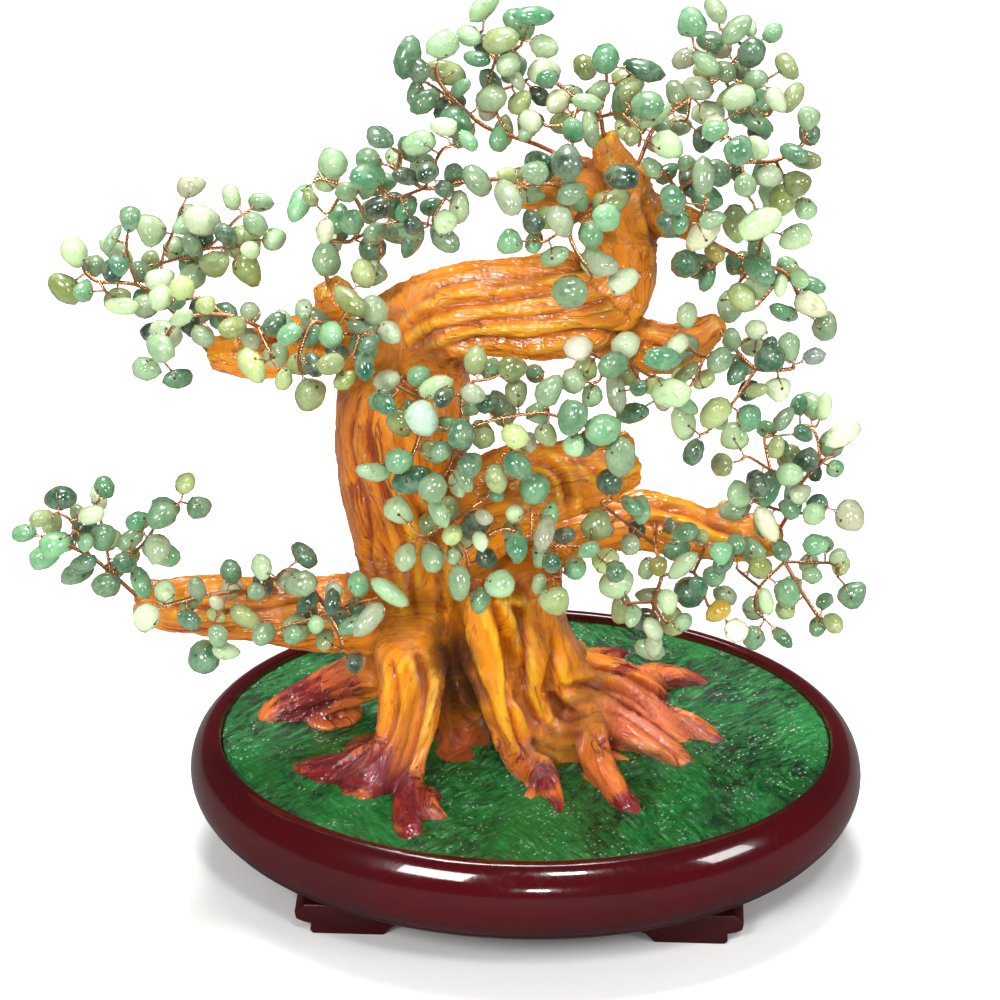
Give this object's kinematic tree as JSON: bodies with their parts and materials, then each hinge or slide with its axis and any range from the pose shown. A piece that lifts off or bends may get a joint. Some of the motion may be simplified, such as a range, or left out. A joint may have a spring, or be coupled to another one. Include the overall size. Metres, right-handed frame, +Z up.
{
  "type": "gemstone tree ornament",
  "caption": "Table ornament in the shape of an old bonsai: a cast gilt-brown tree with copper wire twigs bearing green stone chips, set in an oval footed pot.",
  "frame": {"origin": "centre of the oval pot in plan, on the plane its four feet stand on", "axes": "+X along the pot's length to the right as seen from the front, +Y from the front to the back, +Z up"},
  "size_m": [0.2988, 0.1822, 0.3319],
  "materials": {
    "pot_glaze": "dark maroon, satin with a glossy rolled rim",
    "plaster": "rough cast plaster, hidden",
    "turf": "brushed green lacquer with glints",
    "cast_bark": "glossy amber lacquer with brown grain, crimson at the roots",
    "copper_wire": "bare twisted copper wire",
    "chip_stone": "tumbled pale to dark green chips, waxy polish"
  },
  "bodies": {
    "pot_and_tree": {"pot": "pot_glaze", "plaster_fill": "plaster", "turf": "turf", "trunk_casting": "cast_bark", "wire_roots": "copper_wire"},
    "lower_left_far": {"lower_left_far_wire": "copper_wire", "lower_left_far_stones": "chip_stone"},
    "lower_left_near": {"lower_left_near_wire": "copper_wire", "lower_left_near_stones": "chip_stone"},
    "lower_left_inner": {"lower_left_inner_wire": "copper_wire", "lower_left_inner_stones": "chip_stone"},
    "mid_left_far": {"mid_left_far_wire": "copper_wire", "mid_left_far_stones": "chip_stone"},
    "mid_left_near": {"mid_left_near_wire": "copper_wire", "mid_left_near_stones": "chip_stone"},
    "mid_left_inner": {"mid_left_inner_wire": "copper_wire", "mid_left_inner_stones": "chip_stone"},
    "upper_left": {"upper_left_wire": "copper_wire", "upper_left_stones": "chip_stone"},
    "top_left": {"top_left_wire": "copper_wire", "top_left_stones": "chip_stone"},
    "left_crown": {"left_crown_wire": "copper_wire", "left_crown_stones": "chip_stone"},
    "crown_front": {"crown_front_wire": "copper_wire", "crown_front_stones": "chip_stone"},
    "top_centre": {"top_centre_wire": "copper_wire", "top_centre_stones": "chip_stone"},
    "top_right": {"top_right_wire": "copper_wire", "top_right_stones": "chip_stone"},
    "right_crown": {"right_crown_wire": "copper_wire", "right_crown_stones": "chip_stone"},
    "right_upper": {"right_upper_wire": "copper_wire", "right_upper_stones": "chip_stone"},
    "right_mid": {"right_mid_wire": "copper_wire", "right_mid_stones": "chip_stone"},
    "right_mid_inner": {"right_mid_inner_wire": "copper_wire", "right_mid_inner_stones": "chip_stone"},
    "centre_front": {"centre_front_wire": "copper_wire", "centre_front_stones": "chip_stone"},
    "centre_lower": {"centre_lower_wire": "copper_wire", "centre_lower_stones": "chip_stone"},
    "right_lower": {"right_lower_wire": "copper_wire", "right_lower_stones": "chip_stone"},
    "right_end": {"right_end_wire": "copper_wire", "right_end_stones": "chip_stone"},
    "right_far": {"right_far_wire": "copper_wire", "right_far_stones": "chip_stone"}
  },
  "joints": [
    {"name": "lower_left_far_bend", "type": "hinge", "parent": "pot_and_tree", "child": "lower_left_far", "pos_m": [-0.13797, -0.01548, 0.11458], "axis": [-0.1644, 0.9864, 0], "range_deg": [-9, 9]},
    {"name": "lower_left_near_bend", "type": "hinge", "parent": "pot_and_tree", "child": "lower_left_near", "pos_m": [-0.08941, -0.01672, 0.11628], "axis": [-0.8517, 0.5241, 0], "range_deg": [-5, 5]},
    {"name": "lower_left_inner_bend", "type": "hinge", "parent": "pot_and_tree", "child": "lower_left_inner", "pos_m": [-0.07335, -0.01425, 0.11466], "axis": [-0.9487, -0.3162, 0], "range_deg": [-5, 5]},
    {"name": "mid_left_far_bend", "type": "hinge", "parent": "pot_and_tree", "child": "mid_left_far", "pos_m": [-0.11123, 0.00848, 0.19883], "axis": [0.3162, 0.9487, 0], "range_deg": [-8, 8]},
    {"name": "mid_left_near_bend", "type": "hinge", "parent": "pot_and_tree", "child": "mid_left_near", "pos_m": [-0.08623, -0.00377, 0.20756], "axis": [-0.9648, 0.2631, 0], "range_deg": [-5, 5]},
    {"name": "mid_left_inner_bend", "type": "hinge", "parent": "pot_and_tree", "child": "mid_left_inner", "pos_m": [-0.0627, -0.01182, 0.21161], "axis": [-1, 0, 0], "range_deg": [-5, 5]},
    {"name": "upper_left_bend", "type": "hinge", "parent": "pot_and_tree", "child": "upper_left", "pos_m": [-0.0677, 0.0033, 0.22817], "axis": [0, 1, 0], "range_deg": [-8, 8]},
    {"name": "top_left_bend", "type": "hinge", "parent": "pot_and_tree", "child": "top_left", "pos_m": [0.00792, 0.00522, 0.27503], "axis": [-0.1414, 0.9899, 0], "range_deg": [-6, 6]},
    {"name": "left_crown_bend", "type": "hinge", "parent": "pot_and_tree", "child": "left_crown", "pos_m": [-0.00878, -0.01045, 0.272], "axis": [-0.2425, 0.9701, 0], "range_deg": [-6, 6]},
    {"name": "crown_front_bend", "type": "hinge", "parent": "pot_and_tree", "child": "crown_front", "pos_m": [0.01946, -0.01524, 0.264], "axis": [-0.9398, 0.3417, 0], "range_deg": [-5, 5]},
    {"name": "top_centre_bend", "type": "hinge", "parent": "pot_and_tree", "child": "top_centre", "pos_m": [0.02438, 0.00192, 0.28418], "axis": [-0.8321, 0.5547, 0], "range_deg": [-6, 6]},
    {"name": "top_right_bend", "type": "hinge", "parent": "pot_and_tree", "child": "top_right", "pos_m": [0.03664, 0.00768, 0.27128], "axis": [0.6508, -0.7593, 0], "range_deg": [-8, 8]},
    {"name": "right_crown_bend", "type": "hinge", "parent": "pot_and_tree", "child": "right_crown", "pos_m": [0.04643, -0.00493, 0.25882], "axis": [-0.9191, -0.3939, 0], "range_deg": [-6, 6]},
    {"name": "right_upper_bend", "type": "hinge", "parent": "pot_and_tree", "child": "right_upper", "pos_m": [0.06264, 0.00388, 0.24302], "axis": [-0.4472, -0.8944, 0], "range_deg": [-6, 6]},
    {"name": "right_mid_bend", "type": "hinge", "parent": "pot_and_tree", "child": "right_mid", "pos_m": [0.06689, -0.01045, 0.21575], "axis": [-0.848, -0.53, 0], "range_deg": [-5, 5]},
    {"name": "right_mid_inner_bend", "type": "hinge", "parent": "pot_and_tree", "child": "right_mid_inner", "pos_m": [0.0378, -0.01254, 0.21232], "axis": [-0.9662, 0.2577, 0], "range_deg": [-5, 5]},
    {"name": "centre_front_bend", "type": "hinge", "parent": "pot_and_tree", "child": "centre_front", "pos_m": [-0.04013, -0.02061, 0.20181], "axis": [-0.9333, -0.359, 0], "range_deg": [-4, 4]},
    {"name": "centre_lower_bend", "type": "hinge", "parent": "pot_and_tree", "child": "centre_lower", "pos_m": [-0.02545, -0.0262, 0.14223], "axis": [-0.9971, 0.0767, 0], "range_deg": [-4, 4]},
    {"name": "right_lower_bend", "type": "hinge", "parent": "pot_and_tree", "child": "right_lower", "pos_m": [0.0451, -0.00377, 0.13776], "axis": [-1, 0, 0], "range_deg": [-5, 5]},
    {"name": "right_end_bend", "type": "hinge", "parent": "pot_and_tree", "child": "right_end", "pos_m": [0.08689, 0.00029, 0.12751], "axis": [-0.8682, -0.4961, 0], "range_deg": [-6, 6]},
    {"name": "right_far_bend", "type": "hinge", "parent": "pot_and_tree", "child": "right_far", "pos_m": [0.08912, 0.00658, 0.1334], "axis": [-0.7071, -0.7071, 0], "range_deg": [-6, 6]}
  ]
}
